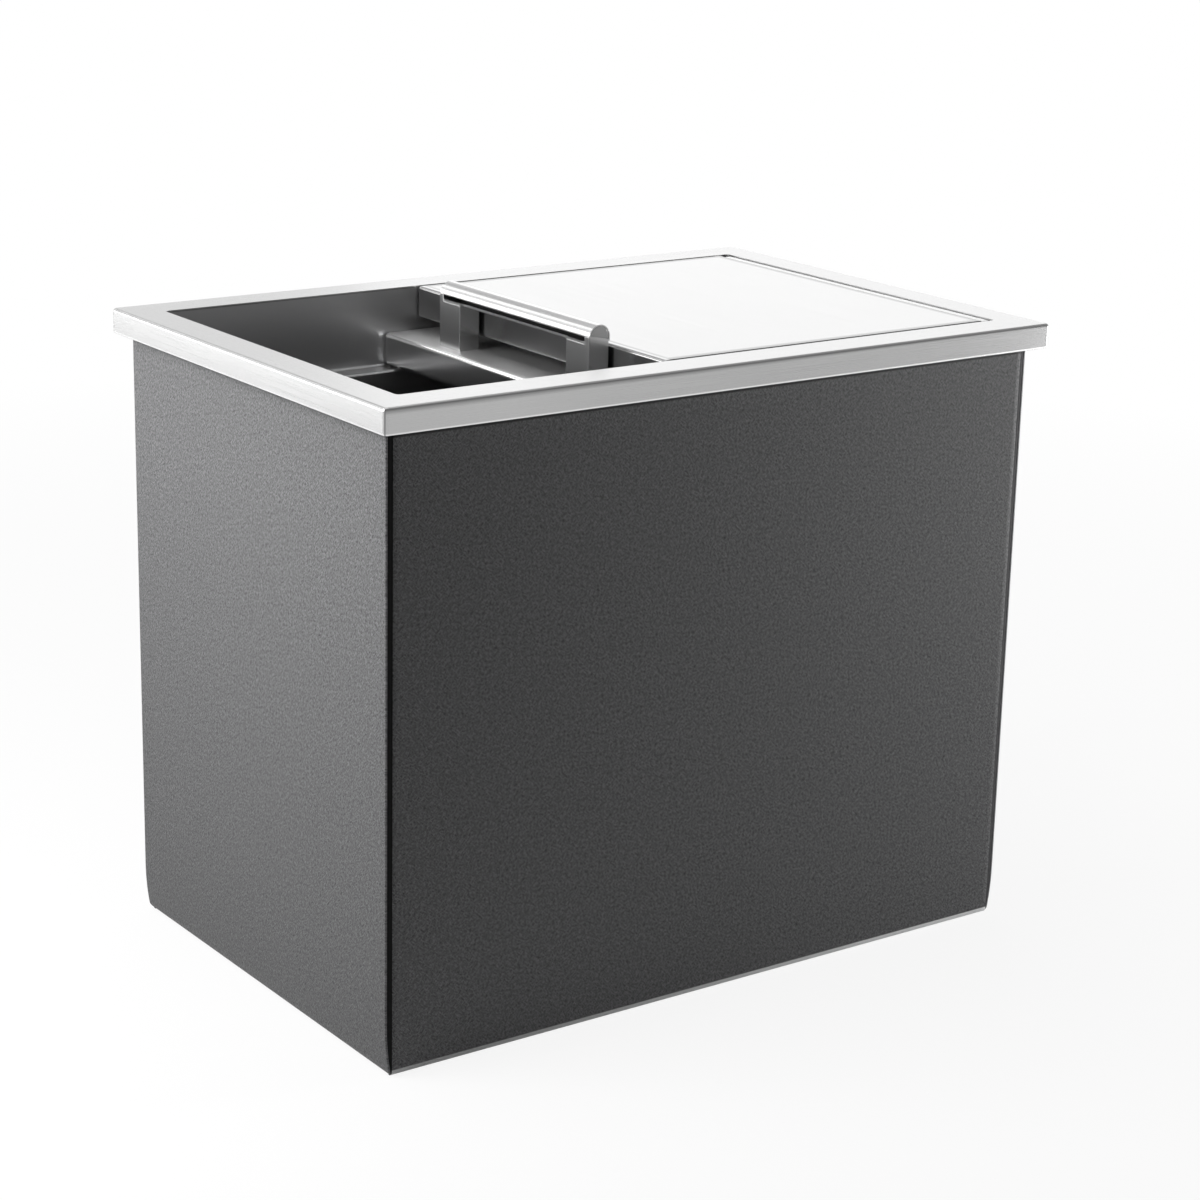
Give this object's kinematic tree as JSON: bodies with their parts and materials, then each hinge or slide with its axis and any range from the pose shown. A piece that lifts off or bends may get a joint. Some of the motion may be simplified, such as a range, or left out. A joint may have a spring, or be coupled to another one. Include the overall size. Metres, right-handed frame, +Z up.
{
  "type": "drop-in ice bin",
  "caption": "Insulated rectangular ice bin that hangs in a counter by its rim, with a lift-off cover over one half and a lower sliding cover with a grab handle.",
  "frame": {"origin": "centre of the base, on the plane it stands on", "axes": "+X along the long side towards the lift-off cover, +Y along the short side towards the back, +Z up out of the opening"},
  "size_m": [0.455, 0.305, 0.385],
  "materials": {
    "rim_steel": "fine brushed along each side",
    "tub_steel": "brushed, slightly dull",
    "casing_coat": "dark grey coat with a fine texture",
    "seam_sealant": "matt black bead",
    "foam": "closed-cell foam, cut surface",
    "drain_steel": "turned and polished",
    "drain_plastic": "moulded, satin",
    "drain_rubber": "matt rubber",
    "cover_steel": "fine brushed, near mirror",
    "glide_nylon": "natural nylon",
    "handle_steel": "polished along the grip",
    "zinc_steel": "bright zinc"
  },
  "bodies": {
    "bin": {"rim_frame": "rim_steel", "tub_collar": "tub_steel", "tub_well": "tub_steel", "casing_wrap": "casing_coat", "casing_end_left": "casing_coat", "casing_end_right": "casing_coat", "casing_seam_seals": "seam_sealant", "foam_insulation": "foam", "drain_cup": "drain_plastic", "drain_body": "drain_steel", "drain_gasket": "drain_rubber", "drain_washer": "zinc_steel", "drain_locknut": "drain_plastic", "drain_strainer": "drain_steel", "cover_lugs": "tub_steel"},
    "top_cover": {"top_cover_shell": "cover_steel", "top_cover_base": "cover_steel", "top_cover_foam": "foam", "top_cover_pads": "glide_nylon"},
    "slide_cover": {"slide_cover_shell": "cover_steel", "slide_cover_base": "cover_steel", "slide_cover_foam": "foam", "slide_cover_glides": "glide_nylon", "handle_backing_plate": "zinc_steel", "handle_post_near": "handle_steel", "handle_post_far": "handle_steel", "handle_rail": "handle_steel", "handle_grip": "handle_steel", "handle_end_caps": "handle_steel", "handle_bolts": "zinc_steel"},
    "plug": {"drain_plug": "drain_rubber", "plug_knob": "drain_steel"}
  },
  "joints": [
    {"name": "slide_cover_slide", "type": "slide", "parent": "bin", "child": "slide_cover", "axis": [-1, 0, 0], "range_m": [0, 0.145]},
    {"name": "top_cover_lift", "type": "slide", "parent": "bin", "child": "top_cover", "axis": [0, 0, 1], "range_m": [0, 0.06]},
    {"name": "drain_plug_lift", "type": "slide", "parent": "bin", "child": "plug", "axis": [0, 0, 1], "range_m": [0, 0.06]}
  ]
}
